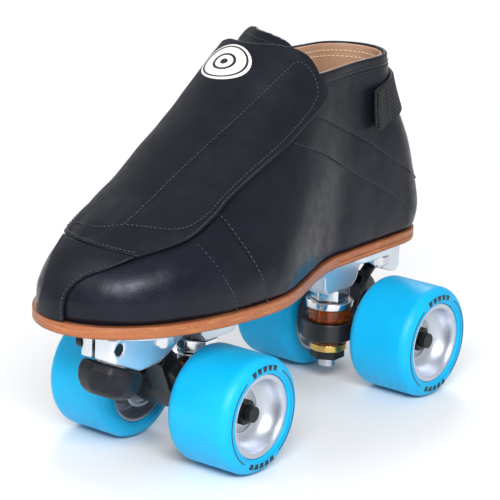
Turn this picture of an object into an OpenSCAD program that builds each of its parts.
// Left-foot quad roller skate: leather boot on a metal plate with two steering trucks and four wheels.
// +X points to the toe, +Y to the outer side of the foot and +Z up. The origin is on the ground,
// midway between the two axles. All sizes are in millimetres.

/* [Wheels] */
// Distance between the front and rear axles
wheelbase = 150; // [146:1:156]
// Outer diameter of a wheel
wheel_d = 59; // [57:0.5:60]
// Width of a wheel across its tread
wheel_w = 38; // [34:1:38]
// Distance from the skate's middle to the middle of a wheel
wheel_y = 37.5; // [37.5:0.5:42]
// Radius of the rounded tread edge
tread_round = 6; // [4:0.5:7]
// Outer radius of the metal hub
hub_r = 21.1; // [20.5:0.1:22]

/* [Axles and bearings] */
// Diameter of the axles
axle_d = 8; // [8:0.1:8.2]
// Overall length of an axle
axle_len = 102; // [98:1:104]
// Outer diameter of a wheel bearing
bearing_d = 22; // [21.6:0.1:22]
// Width of a wheel bearing
bearing_w = 7; // [6.5:0.1:7]
// Width of the spacer between a wheel's two bearings
spacer_w = 10.3; // [10:0.1:10.5]
// How far the bearings sit inwards of the middle of their wheel
bearings_in = 6.5; // [4.5:0.1:6.6]
// Number of balls in a bearing
ball_count = 7; // [6:1:7]

/* [Trucks] */
// Distance from an axle to its kingpin, towards the skate's middle
kingpin_in = 19; // [18:0.5:20]
// Distance from an axle to its pivot, towards the skate's end
pivot_out = 22; // [21:0.5:23]
// Height of the pivots
pivot_z = 59.5; // [59:0.25:60]
// Diameter of the kingpins
kingpin_d = 9.4; // [8:0.2:10]
// Outer radius of the cushion ring on a hanger
ring_r = 14.2; // [12.5:0.1:14.4]
// Radius of a cushion
cushion_r = 12; // [11:0.2:12.4]

/* [Plate] */
// Height of the plate's top face
plate_top = 77; // [76:0.5:79]
// Thickness of the plate's flanges
flange_t = 5; // [4:0.5:6]
// Half width of the front flange
flange_half = 28; // [26:1:30]
// Half width of the front pivot housing
housing_half = 12.5; // [11.5:0.5:14]
// Half width of the rear pivot housing
rear_housing_half = 8.5; // [8:0.5:12]
// Half width of the two kingpin blocks
block_half = 10; // [9:0.5:11]

/* [Toe plug] */
// Largest diameter of the rubber plug
plug_d = 33; // [30:1:34]
// Height of the rubber plug
plug_h = 15; // [13:1:17]
// Diameter of the plug's stem
stem_d = 15.8; // [14:0.2:16]
// Forward tilt of the plug
plug_tilt = 22; // [20:1:24]

/* [Boot] */
// Thickness of the leather sole
sole_t = 6; // [5:0.5:7]
// Height of the collar's rim
rim_z = 180; // [176:1:182]
// Thickness of the upper's leather
leather_t = 2.2; // [1.8:0.1:2.4]
// Thickness of the closing flap's leather
flap_t = 2.2; // [1.8:0.1:2.6]
// Number of lace eyelets on each side
eyelets_a_side = 6; // [5:1:7]

/* [Hidden] */
$fn = 64;

FRONT = 1;
REAR = -1;
LEFT = 1;
RIGHT = -1;
e = 0.05;             // running and seating gap
cut = 1;              // how far a cutting shape runs past a face
axle_z = wheel_d / 2;
axle_x = wheelbase / 2;
kingpin_x = axle_x - kingpin_in;
pivot_x = axle_x + pivot_out;

// Heights along a kingpin, from its tip to the plate
tip_z = 9.7;
nut_z = [14.3, 19];
retainer_z = [19, 22.6];
lower_cushion_z = [22.6, 25.7];
ring_z = [25.7, 35.4];
upper_cushion_z = [35.4, 42.8];
cup_z = [42.8, 46.4];
lock_nut_z = [46.8, 53];
block_z = 53.5;
kingpin_top = 67;
ring_mid = (ring_z[0] + ring_z[1]) / 2;
nut_across = 18;

// The steering axis runs from the ring's middle to the pivot
steer_slope = atan2(pivot_z - ring_mid, pivot_x - kingpin_x);
pivot_ball_r = 4.6;
pivot_cup_r = 5.8;
pivot_cup_depth = 6;
pivot_cup_lip = 2;

flange_z = plate_top - flange_t;
bolt_xy = [for (x = [110, -68], side = [LEFT, RIGHT]) [x, side * 22]];
bolt_r = 2.5;
bolt_head_r = 4.5;
bolt_head_t = 2;
stem_top = [120, 54.4];
clamp_x = 130.2;
clamp_z = 67;
clamp_r = 3;
clamp_seat = 4;
clamp_head_r = 3.7;
clamp_head_h = 3.2;

// Bearing places along Y, measured from a wheel's middle
bearing_mid = (spacer_w + bearing_w) / 2;
bearing_end = spacer_w / 2 + bearing_w;
ball_ring_r = 7.6;
ball_r = 1.985;
groove_r = 2.07;
core_y = wheel_y - bearings_in;      // middle of a wheel's two bearings
shoulder_y = core_y - bearing_end;

sole_top = plate_top + sole_t;
lift_t = 2.5;
lift_front = -22;
insole_t = 3;
lining_gap = 0.4;
lining_t = 1.4;
skin_in = -leather_t;
lining_out = skin_in - lining_gap;
lining_in = lining_out - lining_t;
strip_t = 1.6;
patch_gap = 0.25;       // gap between pieces that lie on each other
loop_pile = [patch_gap, 1.4];
hook_pile = [1.5, 2.8];
flap_d = [3, 3 + flap_t];

// ---------------------------------------------------------------- helpers

function mix(a, b, t) = a + (b - a) * t;
function ease(t) = let (c = min(1, max(0, t))) c * c * (3 - 2 * c);
function unit(v) = v / norm(v);

// Smooth curve through rows that start with their own place on the curve
function slope(K, i) = let (
    a = max(0, i - 1),
    b = min(len(K) - 1, i + 1)
) (K[b] - K[a]) / (K[b][0] - K[a][0]);
function span_of(K, x, i = 0) = i >= len(K) - 2 || x < K[i + 1][0] ? i : span_of(K, x, i + 1);
function through(K, x) = let (
    i = span_of(K, x),
    h = K[i + 1][0] - K[i][0],
    t = (x - K[i][0]) / h
) (2 * t ^ 3 - 3 * t ^ 2 + 1) * K[i] + (t ^ 3 - 2 * t ^ 2 + t) * h * slope(K, i)
    + (3 * t ^ 2 - 2 * t ^ 3) * K[i + 1] + (t ^ 3 - t ^ 2) * h * slope(K, i + 1);

// Straight round bar between two points
module rod(p, q, r) {
    v = q - p;
    translate(p)
        rotate([0, atan2(norm([v[0], v[1]]), v[2]), atan2(v[1], v[0])])
            cylinder(r = r, h = norm(v));
}

module tube(r_out, r_in, h) {
    difference() {
        cylinder(r = r_out, h = h);
        translate([0, 0, -cut])
            cylinder(r = r_in, h = h + 2 * cut);
    }
}

module hex_nut(across, bore_r, h) {
    difference() {
        cylinder(d = across / cos(30), h = h, $fn = 6);
        translate([0, 0, -cut])
            cylinder(r = bore_r, h = h + 2 * cut);
    }
}

// Puts children, built along Z, along Y with their Z = 0 plane at y
module along_y(x, y, z) {
    translate([x, y, z])
        rotate([-90, 0, 0])
            children();
}

// Puts children on the steering axis of a truck: their origin at the pivot, +Z up into the plate
module on_steering_axis(end) {
    translate([end * pivot_x, 0, pivot_z])
        rotate([0, end * (90 - steer_slope), 0])
            children();
}

module on_plug_axis() {
    translate([stem_top[0], 0, stem_top[1]])
        rotate([0, -plug_tilt, 0])
            children();
}

// ---------------------------------------------------------------- boot shape

// Level outlines of the boot, from the sole up. Columns: height, heel end x, front end x, front end y,
// half width of the heel, outer ball, inner ball and arch, then the lengths over which the outline rounds
// off at the heel, the outer toe and the inner toe
BOOT = [
    [ 83, -107.5, 153, -6, 28, 53.5, 38.5, 20.5, 27, 85, 50],
    [ 95, -110.5, 153, -6, 28.5, 55, 37.5, 25, 27, 80, 52],
    [108, -108.5, 145, -6, 28, 52.5, 34.5, 27.5, 26.5, 72, 56],
    [120, -105, 126.5, -5, 27, 46, 33.5, 28, 25.5, 64, 56],
    [133, -100, 99, -3.5, 26, 38, 32.5, 28.5, 24.5, 60, 55],
    [150, -90.5, 73, -2, 24, 31.5, 31, 28, 23, 54, 50],
    [168, -83, 47.5, -1, 22.8, 27, 29.5, 26.5, 22.4, 46, 44],
    [183, -80, 27.5, 0, 22.4, 24.5, 28, 25, 22, 36, 36],
    [200, -79, 5, 0, 22.4, 24, 27, 24.5, 22, 32, 32]];
SOLE = [0, -108.5, 154.5, -6, 29, 54.5, 39.5, 21.5, 28, 85, 49];

function round_off(d, r) = d >= r ? 1 : sqrt(max(0, 1 - (1 - d / r) ^ 2));

// Point of one outline. u runs from the toe (0) to the heel (1) on the outer side, and to -1 on the inner
function outline(r, u) = let (
    s = (1 + cos(180 * u)) / 2,
    length = r[2] - r[1],
    outer = mix(r[4], r[5], ease((s - 0.32) / 0.33)),
    inner = s < 0.4 ? mix(r[4], r[7], ease((s - 0.15) / 0.25)) : mix(r[7], r[6], ease((s - 0.4) / 0.34)),
    middle = r[3] * ease((s - 0.32) / 0.5),
    heel = round_off(s * length, r[8]),
    toe = round_off((1 - s) * length, u >= 0 ? r[9] : r[10])
) [r[1] + s * length, middle + (u >= 0 ? outer : -inner) * heel * toe];

function wrap(u) = u > 1 ? u - 2 : u < -1 ? u + 2 : u;
function boot(u, z) = let (p = outline(through(BOOT, z), wrap(u))) [p[0], p[1], z];

// Point at distance d outside the boot's outer surface
function skin(u, z, d) = let (
    along = boot(u + 0.004, z) - boot(u - 0.004, z),
    up = boot(u, z + 0.4) - boot(u, z - 0.4)
) boot(u, z) + d * unit(cross(along, up));

// Place around the outline where the boot passes x at height z
function at_x(x, z, side) = let (r = through(BOOT, z))
    side * acos(min(1, max(-1, 2 * (x - r[1]) / (r[2] - r[1]) - 1))) / 180;

// Triangles of a closed sheet between two grids of na by nb points
function pair(a, b, c, d) = [[a, b, c], [a, c, d]];
function sheet_faces(na, nb, ring) = let (
    half = na * nb,
    rows = ring ? na : na - 1
) concat(
    [for (i = [0:rows - 1], j = [0:nb - 2], f = let (
        p = i * nb + j, q = ((i + 1) % na) * nb + j
    ) concat(pair(p, q, q + 1, p + 1), pair(half + p, half + p + 1, half + q + 1, half + q))) f],
    [for (i = [0:rows - 1], k = [0, 1], f = let (
        p = i * nb + k * (nb - 1), q = ((i + 1) % na) * nb + k * (nb - 1)
    ) k == 0 ? pair(q, p, half + p, half + q) : pair(p, q, half + q, half + p)) f],
    ring ? [] : [for (j = [0:nb - 2], k = [0, 1], f = let (
        p = k * (na - 1) * nb + j
    ) k == 0 ? pair(p, p + 1, half + p + 1, half + p) : pair(p + 1, p, half + p, half + p + 1)) f]);

// Sheet over the boot between depths d_in and d_out. place(a, b) gives u, z and an optional extra lift
// for a and b from 0 to 1
module sheet(place, na, nb, d_in, d_out, ring = false) {
    steps = ring ? na : na - 1;
    grid = [for (d = [d_in, d_out], i = [0:na - 1], j = [0:nb - 1])
        let (p = place(i / steps, j / (nb - 1))) skin(p[0], p[1], d + (len(p) > 2 ? p[2] : 0))];
    polyhedron(points = grid, faces = sheet_faces(na, nb, ring), convexity = 8);
}

module sole_shape(row, n = 96) {
    polygon([for (i = [0:n - 1]) outline(row, wrap(2 * i / n))]);
}

// The flap lies from its sewn edge on the inner side, a = 0, to its free edge, a = 1, and from its foot
// on the toe, b = 0, to its top, b = 1. Rows: b, then the free edge's x and z, or the sewn edge's u and z
FREE = [[0, 128.8, 112.8], [0.06, 118, 115.5], [0.12, 106, 118.2], [0.18, 95, 122], [0.25, 84, 126.2],
    [0.5, 53, 140.4], [0.75, 23.5, 153.8], [1, -4, 168.8]];
SEWN = [[0, -0.12, 114.5], [0.15, -0.19, 125], [0.3, -0.22, 137], [1, -0.22, 190]];
function flap_at(a, b) = let (
    free = through(FREE, b),
    sewn = through(SEWN, b),
    crown = (1 - (2 * a - 1) ^ 2) * mix(1.5, 6, ease(3 * b)),
    peak = 9 * ease((b - 0.6) / 0.4) * exp(-((a - 0.72) / 0.2) ^ 2)
) [mix(sewn[1], at_x(free[1], free[2], LEFT), a), mix(sewn[2], free[2], a) + crown + peak];

// The flap's foot lies on the toe leather, and the rest rises to clear the laces
function flap_place(a, b) = concat(flap_at(a, b), mix(-2.6, 0, ease(3 * b)) + 1.5 * b);

// Laced opening over the instep, narrow at the toe end and open at the collar
module throat() {
    sheet(function (a, b) flap_at(mix(0.35, 0.53, a), mix(0.2, 1.1, b)), 5, 12, -12, 8);
    translate([-3, -40, rim_z - 14])
        cube([60, 80, 50]);
}

// ---------------------------------------------------------------- boot

module outsole() {
    color("peru")
        difference() {
            translate([0, 0, plate_top])
                linear_extrude(height = sole_t)
                    sole_shape(SOLE);
            translate([-200 + lift_front, -100, plate_top - cut])
                cube([200, 200, lift_t + cut]);
            mounting_holes(plate_top - cut, sole_top + cut, bolt_r + e);
            mounting_holes(sole_top - bolt_head_t, sole_top + cut, bolt_head_r + e);
        }
}

module heel_lift() {
    color("sienna")
        difference() {
            translate([0, 0, plate_top])
                linear_extrude(height = lift_t)
                    sole_shape(SOLE);
            translate([lift_front, -100, plate_top - cut])
                cube([200, 200, lift_t + 2 * cut]);
            mounting_holes(plate_top - cut, sole_top + cut, bolt_r + e);
        }
}

module insole() {
    inset = 5;
    smaller = [0, inset, -inset, 0, -inset, -inset, -inset, -inset, -inset, -inset, -inset];
    color("burlywood")
        translate([0, 0, sole_top])
            linear_extrude(height = insole_t)
                sole_shape(BOOT[0] + smaller);
}

module upper() {
    color([0.09, 0.09, 0.11])
        difference() {
            sheet(function (a, b) [2 * a - 1, mix(sole_top + 0.4, rim_z, b)], 60, 20,
                skin_in, 0, ring = true);
            throat();
        }
}

module lining() {
    color("tan")
        difference() {
            sheet(function (a, b) [2 * a - 1, mix(sole_top + insole_t, rim_z - 0.5, b)], 60, 19,
                lining_in, lining_out, ring = true);
            throat();
        }
}

module tongue() {
    top = [[-1, 199], [0, 196], [1, 184]];
    color([0.1, 0.1, 0.12])
        sheet(function (a, b) let (
            side = 2 * a - 1
        ) [0.22 * side * mix(0.75, 1.2, b), mix(136 - 8 * side * side, through(top, side)[1], b), 5 * b ^ 3],
            13, 14, -10, -6);
}

// Eyelets sit in two rows under the flap. Both rows are given in the flap's own coordinates
outer_row = 0.64;
inner_row = 0.24;
function row_b(i) = mix(0.27, 0.76, i / (eyelets_a_side - 1));
function eyelet_at(i, side, d) = let (
    p = flap_at(side == LEFT ? outer_row : inner_row, row_b(i))
) skin(p[0], p[1], d);

module eyelets() {
    color("black")
        for (i = [0:eyelets_a_side - 1], side = [LEFT, RIGHT]) {
            base = eyelet_at(i, side, 0);
            out = eyelet_at(i, side, 1) - base;
            translate(base + 0.2 * out)
                rotate([0, acos(out[2]), atan2(out[1], out[0])])
                    tube(3, 1.8, 0.6);
        }
}

// Straight-bar lacing: flat bars across the opening, joined in turn along the two eyelet rows
module laces() {
    half = 0.012;
    function sag(a) = -2.6 * max(0, 1 - ((2 * a - 1) / 0.38) ^ 2);
    color("dimgray") {
        for (i = [0:eyelets_a_side - 1])
            sheet(function (a, b) concat(
                flap_at(mix(inner_row, outer_row, a), row_b(i) + mix(-half, half, b)), sag(a)
            ), 11, 3, 1, 1.9);
        for (i = [0:eyelets_a_side - 2])
            let (mid = i % 2 == 0 ? outer_row : inner_row)
                sheet(function (a, b) flap_at(mid + mix(-0.018, 0.018, a), mix(row_b(i), row_b(i + 1), b)),
                    3, 4, 0.95, 1.95);
    }
}

// Leather strip from the toe tip over the toe, up to the foot of the flap. Rows: b, u and z of an edge
STRIP_OUTER = [[0, 0.02, 83.5], [0.3, 0.0205, 93], [0.5, 0.028, 99], [0.68, 0.05, 104.5], [0.85, 0.092, 109],
    [1, 0.127, 112.3]];
STRIP_INNER = [[0, -0.075, 83.5], [0.4, -0.06, 95], [0.7, -0.076, 103], [1, -0.118, 113.9]];
module toe_strip() {
    color([0.1, 0.1, 0.12])
        sheet(function (a, b) let (
            outer = through(STRIP_OUTER, b),
            inner = through(STRIP_INNER, b)
        ) [mix(inner[1], outer[1], a), mix(inner[2], outer[2], a) + 1.5 * b * (1 - (2 * a - 1) ^ 2)],
            14, 18, patch_gap, strip_t);
}

// Webbing that wraps the heel from side to side, higher at the back
module heel_loop() {
    color([0.13, 0.14, 0.17])
        sheet(function (a, b) [mix(0.675, 1.325, a), mix(143, 163.5, b) + 7 * sin(180 * a)],
            24, 5, patch_gap, 2.4);
}

// ---------------------------------------------------------------- flap

module flap() {
    color([0.09, 0.09, 0.11])
        sheet(function (a, b) flap_place(a, b), 18, 18, flap_d[0], flap_d[1]);
}

module pile(depths) {
    sheet(function (a, b) flap_at(mix(0.72, 0.97, a), mix(0.28, 0.95, b)), 6, 14, depths[0], depths[1]);
}

module hook_patch() {
    color([0.05, 0.05, 0.06])
        pile(hook_pile);
}

module loop_patch() {
    color([0.06, 0.06, 0.07])
        pile(loop_pile);
}

module badge() {
    color("white")
        sheet(function (a, b) let (
            turn = -360 * a,
            r = b + 0.01
        ) flap_place(0.307 + r * (0.2 * cos(turn) - 0.115 * sin(turn)),
            0.866 + r * (0.063 * cos(turn) + 0.074 * sin(turn))), 20, 3,
            flap_d[1] + patch_gap + 0.2, flap_d[1] + 1.3, ring = true);
}

// ---------------------------------------------------------------- plate

module mounting_holes(z0, z1, r) {
    for (p = bolt_xy)
        translate([p[0], p[1], z0])
            cylinder(r = r, h = z1 - z0);
}

// Solid between y = -half and +half with the given x and z outline
module side_profile(points, half) {
    translate([0, half, 0])
        rotate([90, 0, 0])
            linear_extrude(height = 2 * half)
                polygon(points);
}

module flanges() {
    rear_half = flange_half - 2;
    rear_end = -79;
    corner = 9;
    translate([0, 0, flange_z])
        linear_extrude(height = flange_t) {
            translate([106, 0])
                circle(r = flange_half);
            translate([56, -flange_half])
                square([50, 2 * flange_half]);
            translate([46, -flange_half + corner])
                square([12, 2 * (flange_half - corner)]);
            for (x = [rear_end + corner, -55], side = [LEFT, RIGHT])
                translate([x, side * (rear_half - corner)])
                    circle(r = corner);
            translate([rear_end, -rear_half + corner])
                square([-55 + corner - rear_end, 2 * (rear_half - corner)]);
            translate([rear_end + corner, -rear_half])
                square([-55 - corner - rear_end, 2 * rear_half]);
            for (side = [LEFT, RIGHT])
                translate([56, side * (flange_half - corner)])
                    circle(r = corner);
        }
}

// Plan of the front pivot block: a clamp round the plug's stem, rounder on its inner side
module front_plan() {
    front = 135;
    inner_round = 10;
    outer_round = 3;
    translate([70, -housing_half])
        square([front - inner_round - 70, 2 * housing_half]);
    translate([front - inner_round, inner_round - housing_half])
        circle(r = inner_round);
    translate([70, inner_round - housing_half])
        square([front - 70, 2 * housing_half - inner_round - outer_round]);
    translate([70, 0])
        square([front - outer_round - 70, housing_half]);
    translate([front - outer_round, housing_half - outer_round])
        circle(r = outer_round);
}

module base_plate() {
    rise = [[100, 53], [93, 56.2], [84, 61.4], [80, 63.5], [78, flange_z + cut]];
    mirrored = [for (p = rise) [-p[0], p[1]]];
    color("gainsboro")
        difference() {
            union() {
                flanges();
                intersection() {
                    side_profile(concat([[136, flange_z + cut], [136, 61.8], [115.5, 52.5]], rise),
                        housing_half + cut);
                    translate([0, 0, 50])
                        linear_extrude(height = 30)
                            front_plan();
                }
                side_profile(concat([[-107.5, plate_top], [-107.5, 54.5], [-105, 52.5]], mirrored,
                    [[-72, plate_top]]), rear_housing_half);
                for (end = [FRONT, REAR])
                    side_profile([for (p = [[72, flange_z + cut], [66, 57], [62, block_z], [40, block_z],
                        [37, 57], [37, plate_top], [72, plate_top]]) [end * p[0], p[1]]], block_half);
                translate([-80, -block_half, 64])
                    cube([160, 2 * block_half, plate_top - 64]);
            }
            for (end = [FRONT, REAR]) {
                translate([end * kingpin_x, 0, block_z - cut])
                    cylinder(d = kingpin_d, h = kingpin_top - block_z + cut);
                on_steering_axis(end)
                    translate([0, 0, -15])
                        cylinder(r = pivot_cup_r, h = 15 + pivot_cup_depth);
            }
            for (x = [-20, 12])
                translate([x, 0, 60])
                    cylinder(r = 6, h = 20);
            on_plug_axis()
                translate([0, 0, -10])
                    cylinder(d = stem_d + 2 * e, h = 10 + 18.5);
            translate([121, -0.9, 50])
                cube([20, 1.8, flange_z - 50 - 0.5]);
            along_y(clamp_x, -housing_half - cut, clamp_z)
                cylinder(r = clamp_r, h = 2 * (housing_half + cut));
            along_y(clamp_x, -housing_half - cut, clamp_z)
                cylinder(r = clamp_head_r + 0.3, h = cut + clamp_seat);
            mounting_holes(flange_z - cut, plate_top + cut, bolt_r + e);
        }
}

module mounting_bolts() {
    color("silver") {
        mounting_holes(flange_z - 6, sole_top - bolt_head_t, bolt_r);
        mounting_holes(sole_top - bolt_head_t, sole_top, bolt_head_r);
    }
}

module mounting_nuts() {
    color("lightsteelblue")
        for (p = bolt_xy)
            translate([p[0], p[1], flange_z - 4.5])
                hex_nut(9, bolt_r, 4.5);
}

module clamp_screw() {
    color([0.15, 0.15, 0.17]) {
        along_y(clamp_x, clamp_seat - housing_half, clamp_z)
            cylinder(r = clamp_r, h = 2 * housing_half - clamp_seat - 0.5);
        along_y(clamp_x, clamp_seat - housing_half - clamp_head_h, clamp_z)
            cylinder(r = clamp_head_r, h = clamp_head_h);
    }
}

// ---------------------------------------------------------------- kingpins

module at_kingpin(end, z) {
    translate([end * kingpin_x, 0, z])
        children();
}

module kingpin(end) {
    color("silver")
        at_kingpin(end, tip_z)
            cylinder(d = kingpin_d, h = kingpin_top - tip_z);
}

module cushion(end, z, r) {
    color([0.55, 0.2, 0.03])
        at_kingpin(end, z[0])
            tube(r, kingpin_d / 2 + 0.3, z[1] - z[0]);
}

module front_kingpin() kingpin(FRONT);
module rear_kingpin() kingpin(REAR);
module front_upper_cushion() cushion(FRONT, upper_cushion_z, cushion_r);
module rear_upper_cushion() cushion(REAR, upper_cushion_z, cushion_r);
module front_lower_cushion() cushion(FRONT, lower_cushion_z, cushion_r - 1.5);
module rear_lower_cushion() cushion(REAR, lower_cushion_z, cushion_r - 1.5);

module kingpin_lock_nuts() {
    color("silver")
        for (end = [FRONT, REAR])
            at_kingpin(end, lock_nut_z[0])
                hex_nut(nut_across, kingpin_d / 2, lock_nut_z[1] - lock_nut_z[0]);
}

module upper_cups() {
    color("silver")
        for (end = [FRONT, REAR])
            at_kingpin(end, cup_z[0]) {
                tube(cushion_r + 0.9, kingpin_d / 2 + e, cup_z[1] - cup_z[0]);
                translate([0, 0, cup_z[1] - cup_z[0]])
                    tube(8, kingpin_d / 2 + e, lock_nut_z[0] - cup_z[1]);
            }
}

module lower_retainers() {
    color("goldenrod")
        for (end = [FRONT, REAR])
            at_kingpin(end, retainer_z[0])
                tube(10, kingpin_d / 2 + e, retainer_z[1] - retainer_z[0]);
}

module kingpin_nuts() {
    color([0.12, 0.12, 0.12])
        for (end = [FRONT, REAR])
            at_kingpin(end, nut_z[0])
                hex_nut(nut_across - 2, kingpin_d / 2, nut_z[1] - nut_z[0]);
}

module pivot_cups() {
    color("darkorange")
        for (end = [FRONT, REAR])
            on_steering_axis(end)
                difference() {
                    translate([0, 0, -pivot_cup_lip])
                        cylinder(r = pivot_cup_r - e, h = pivot_cup_lip + pivot_cup_depth - e);
                    translate([0, 0, -10])
                        cylinder(r = pivot_ball_r + e, h = 10 + pivot_ball_r + e);
                }
}

// ---------------------------------------------------------------- toe plug

module plug_stem() {
    color("silver")
        on_plug_axis()
            translate([0, 0, -0.35])
                cylinder(d = stem_d, h = 18.35);
}

module toe_plug() {
    sides = 10;
    module slice(z, r)
        translate([0, 0, z])
            cylinder(r = r, h = 0.4, $fn = sides);
    color([0.17, 0.18, 0.2])
        on_plug_axis()
            translate([0, 0, -0.8])
                hull() {
                    slice(0, plug_d / 2 - 1.2);
                    slice(-4, plug_d / 2);
                    slice(-9, plug_d / 2 - 1);
                    slice(-plug_h + 2, plug_d / 2 - 4);
                    slice(-plug_h, plug_d / 2 - 8);
                }
}

// ---------------------------------------------------------------- trucks

module hanger(end) {
    tube_r = 8.5;
    journal_r = 6;
    arm_half = 6;
    web_half = 17;
    wide = kingpin_x + ring_r;
    color([0.08, 0.08, 0.09])
        difference() {
            union() {
                at_kingpin(end, ring_z[0])
                    cylinder(r = ring_r, h = ring_z[1] - ring_z[0]);
                along_y(end * axle_x, -web_half, axle_z)
                    cylinder(r = tube_r, h = 2 * web_half);
                along_y(end * axle_x, -shoulder_y, axle_z)
                    cylinder(r = journal_r, h = 2 * shoulder_y);
                // bridge from the ring to the axle tube
                translate([min(end * (kingpin_x + 6), end * axle_x), -9, ring_z[0]])
                    cube([axle_x - kingpin_x - 6, 18, ring_z[1] - ring_z[0]]);
                // arm up to the pivot
                side_profile([for (p = [[wide + 1, 33], [axle_x, 44], [axle_x + 5, 50], [axle_x + 9, 55.3],
                    [axle_x + 16, 47.2], [axle_x + 8, 30]]) [end * p[0], p[1]]], arm_half);
                // side webs between the arm and the axle tube
                side_web(end, web_half);
            }
            at_kingpin(end, ring_z[0] - cut)
                cylinder(r = kingpin_d / 2 + 2.2, h = ring_z[1] - ring_z[0] + 2 * cut);
            along_y(end * axle_x, -shoulder_y - cut, axle_z)
                cylinder(d = axle_d, h = 2 * (shoulder_y + cut));
            on_steering_axis(end)
                translate([0, 0, -20])
                    cylinder(r = 3.2, h = 20);
        }
}

// Triangular web, flat against the line from the axle to the pivot
module side_web(end, half) {
    rise = 18;
    lean = 30;
    translate([end * axle_x, 0, axle_z])
        rotate([0, end * lean, 0])
            translate([-3, 0, 0])
                rotate([90, 0, 90])
                    linear_extrude(height = 6)
                        polygon([[-half, 0], [half, 0], [half, 4], [6, rise], [-6, rise], [-half, 4]]);
}

module pivot_pin(end) {
    color([0.1, 0.1, 0.11])
        on_steering_axis(end) {
            translate([0, 0, -16])
                cylinder(r = 3.2, h = 14);
            sphere(r = pivot_ball_r);
        }
}

module axle(end) {
    color("dimgray")
        along_y(end * axle_x, -axle_len / 2, axle_z)
            cylinder(d = axle_d, h = axle_len);
}

// Places a shape at each of the four bearings of a truck
module at_bearings(end) {
    for (side = [LEFT, RIGHT], k = [-1, 1])
        along_y(end * axle_x, side * core_y + k * bearing_mid, axle_z)
            children();
}

module raceway() {
    rotate_extrude()
        translate([ball_ring_r, 0])
            circle(r = groove_r);
}

module bearing_inner_rings(end) {
    color("silver")
        at_bearings(end)
            difference() {
                translate([0, 0, -bearing_w / 2])
                    tube(6, axle_d / 2 + e, bearing_w);
                raceway();
            }
}

module wheel_spacers(end) {
    color("silver")
        for (side = [LEFT, RIGHT])
            along_y(end * axle_x, side * core_y - spacer_w / 2, axle_z)
                tube(5.4, axle_d / 2 + e, spacer_w);
}

module axle_nuts(end) {
    washer_t = 0.5;
    nut_h = 3.6;
    color([0.08, 0.08, 0.08])
        for (side = [LEFT, RIGHT])
            mirror([0, side == LEFT ? 0 : 1, 0])
                along_y(end * axle_x, core_y + bearing_end, axle_z) {
                    tube(5.5, axle_d / 2, washer_t);
                    translate([0, 0, washer_t])
                        hex_nut(11, axle_d / 2, nut_h);
                }
}

module front_hanger() hanger(FRONT);
module rear_hanger() hanger(REAR);
module front_pivot_pin() pivot_pin(FRONT);
module rear_pivot_pin() pivot_pin(REAR);
module front_axle() axle(FRONT);
module rear_axle() axle(REAR);
module front_bearing_inner_rings() bearing_inner_rings(FRONT);
module rear_bearing_inner_rings() bearing_inner_rings(REAR);
module front_wheel_spacers() wheel_spacers(FRONT);
module rear_wheel_spacers() wheel_spacers(REAR);
module front_axle_nuts() axle_nuts(FRONT);
module rear_axle_nuts() axle_nuts(REAR);

// ---------------------------------------------------------------- wheels

// Puts a wheel's shape, built along +Z outwards from its middle, at one corner of the skate
module at_wheel(end, side) {
    translate([end * axle_x, side * wheel_y, axle_z])
        rotate([-side * 90, 0, 0])
            children();
}

module tyre(end, side) {
    half = wheel_w / 2;
    round_mid = wheel_d / 2 - tread_round;
    color("deepskyblue")
        at_wheel(end, side)
            rotate_extrude()
                intersection() {
                    union() {
                        translate([0, -half])
                            square([round_mid, wheel_w]);
                        translate([0, -half + tread_round])
                            square([wheel_d / 2, wheel_w - 2 * tread_round]);
                        for (k = [-1, 1])
                            translate([round_mid, k * (half - tread_round)])
                                circle(r = tread_round);
                    }
                    translate([hub_r, -wheel_w])
                        square([wheel_d, 2 * wheel_w]);
                }
}

// Wheel core: a rim, a dished web and a boss that seats the two bearings
module hub(end, side) {
    rim = wheel_w / 2 - 1.5;
    out = bearing_end + 0.6 - bearings_in;
    in = -bearing_end - 0.6 - bearings_in;
    seat = bearing_d / 2;
    stop = spacer_w / 2;
    color("silver")
        at_wheel(end, side)
            rotate_extrude()
                polygon([[hub_r, rim], [19.8, rim], [17, out + 2.5], [14, out], [seat, out],
                    [seat, stop - bearings_in], [9.4, stop - bearings_in], [9.4, -stop - bearings_in],
                    [seat, -stop - bearings_in], [seat, in], [13, in], [13.6, -6], [17.4, -6],
                    [19.6, -rim], [hub_r, -rim]]);
}

module bearing_outer_rings(end, side) {
    color([0.2, 0.2, 0.22])
        at_wheel(end, side)
            for (k = [-1, 1])
                translate([0, 0, k * bearing_mid - bearings_in])
                    difference() {
                        translate([0, 0, -bearing_w / 2])
                            tube(bearing_d / 2, 6.2, bearing_w);
                        translate([0, 0, -bearing_w / 2 + 0.5])
                            cylinder(r = 9.1, h = bearing_w - 1);
                        raceway();
                    }
}

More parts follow.
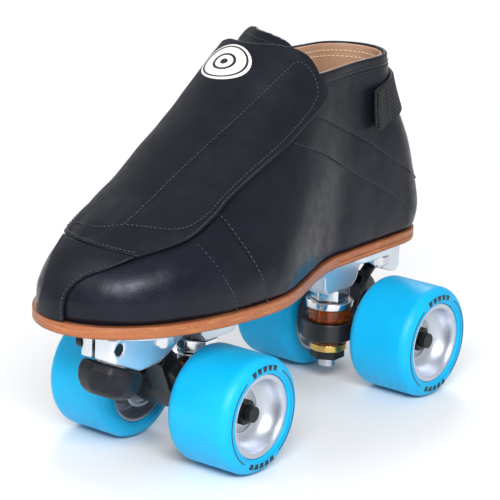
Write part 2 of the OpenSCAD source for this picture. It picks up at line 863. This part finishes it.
module ball_cages(end, side) {
    color("gold")
        at_wheel(end, side)
            for (k = [-1, 1])
                translate([0, 0, k * bearing_mid - bearings_in]) {
                    translate([0, 0, -0.8])
                        tube(8.2, 7, 1.6);
                    for (i = [0:ball_count - 1])
                        rotate(i * 360 / ball_count)
                            translate([ball_ring_r, 0, 0])
                                sphere(r = ball_r);
                }
}

module front_left_tyre() tyre(FRONT, LEFT);
module front_left_hub() hub(FRONT, LEFT);
module front_left_bearing_outer_rings() bearing_outer_rings(FRONT, LEFT);
module front_left_ball_cages() ball_cages(FRONT, LEFT);
module front_right_tyre() tyre(FRONT, RIGHT);
module front_right_hub() hub(FRONT, RIGHT);
module front_right_bearing_outer_rings() bearing_outer_rings(FRONT, RIGHT);
module front_right_ball_cages() ball_cages(FRONT, RIGHT);
module rear_left_tyre() tyre(REAR, LEFT);
module rear_left_hub() hub(REAR, LEFT);
module rear_left_bearing_outer_rings() bearing_outer_rings(REAR, LEFT);
module rear_left_ball_cages() ball_cages(REAR, LEFT);
module rear_right_tyre() tyre(REAR, RIGHT);
module rear_right_hub() hub(REAR, RIGHT);
module rear_right_bearing_outer_rings() bearing_outer_rings(REAR, RIGHT);
module rear_right_ball_cages() ball_cages(REAR, RIGHT);

base_plate();
outsole();
heel_lift();
insole();
upper();
lining();
tongue();
laces();
eyelets();
toe_strip();
heel_loop();
loop_patch();
mounting_bolts();
mounting_nuts();
clamp_screw();
front_kingpin();
rear_kingpin();
kingpin_lock_nuts();
upper_cups();
front_upper_cushion();
rear_upper_cushion();
front_lower_cushion();
rear_lower_cushion();
lower_retainers();
kingpin_nuts();
pivot_cups();
flap();
hook_patch();
badge();
plug_stem();
toe_plug();
front_hanger();
front_axle();
front_pivot_pin();
front_bearing_inner_rings();
front_wheel_spacers();
front_axle_nuts();
rear_hanger();
rear_axle();
rear_pivot_pin();
rear_bearing_inner_rings();
rear_wheel_spacers();
rear_axle_nuts();
front_left_tyre();
front_left_hub();
front_left_bearing_outer_rings();
front_left_ball_cages();
front_right_tyre();
front_right_hub();
front_right_bearing_outer_rings();
front_right_ball_cages();
rear_left_tyre();
rear_left_hub();
rear_left_bearing_outer_rings();
rear_left_ball_cages();
rear_right_tyre();
rear_right_hub();
rear_right_bearing_outer_rings();
rear_right_ball_cages();
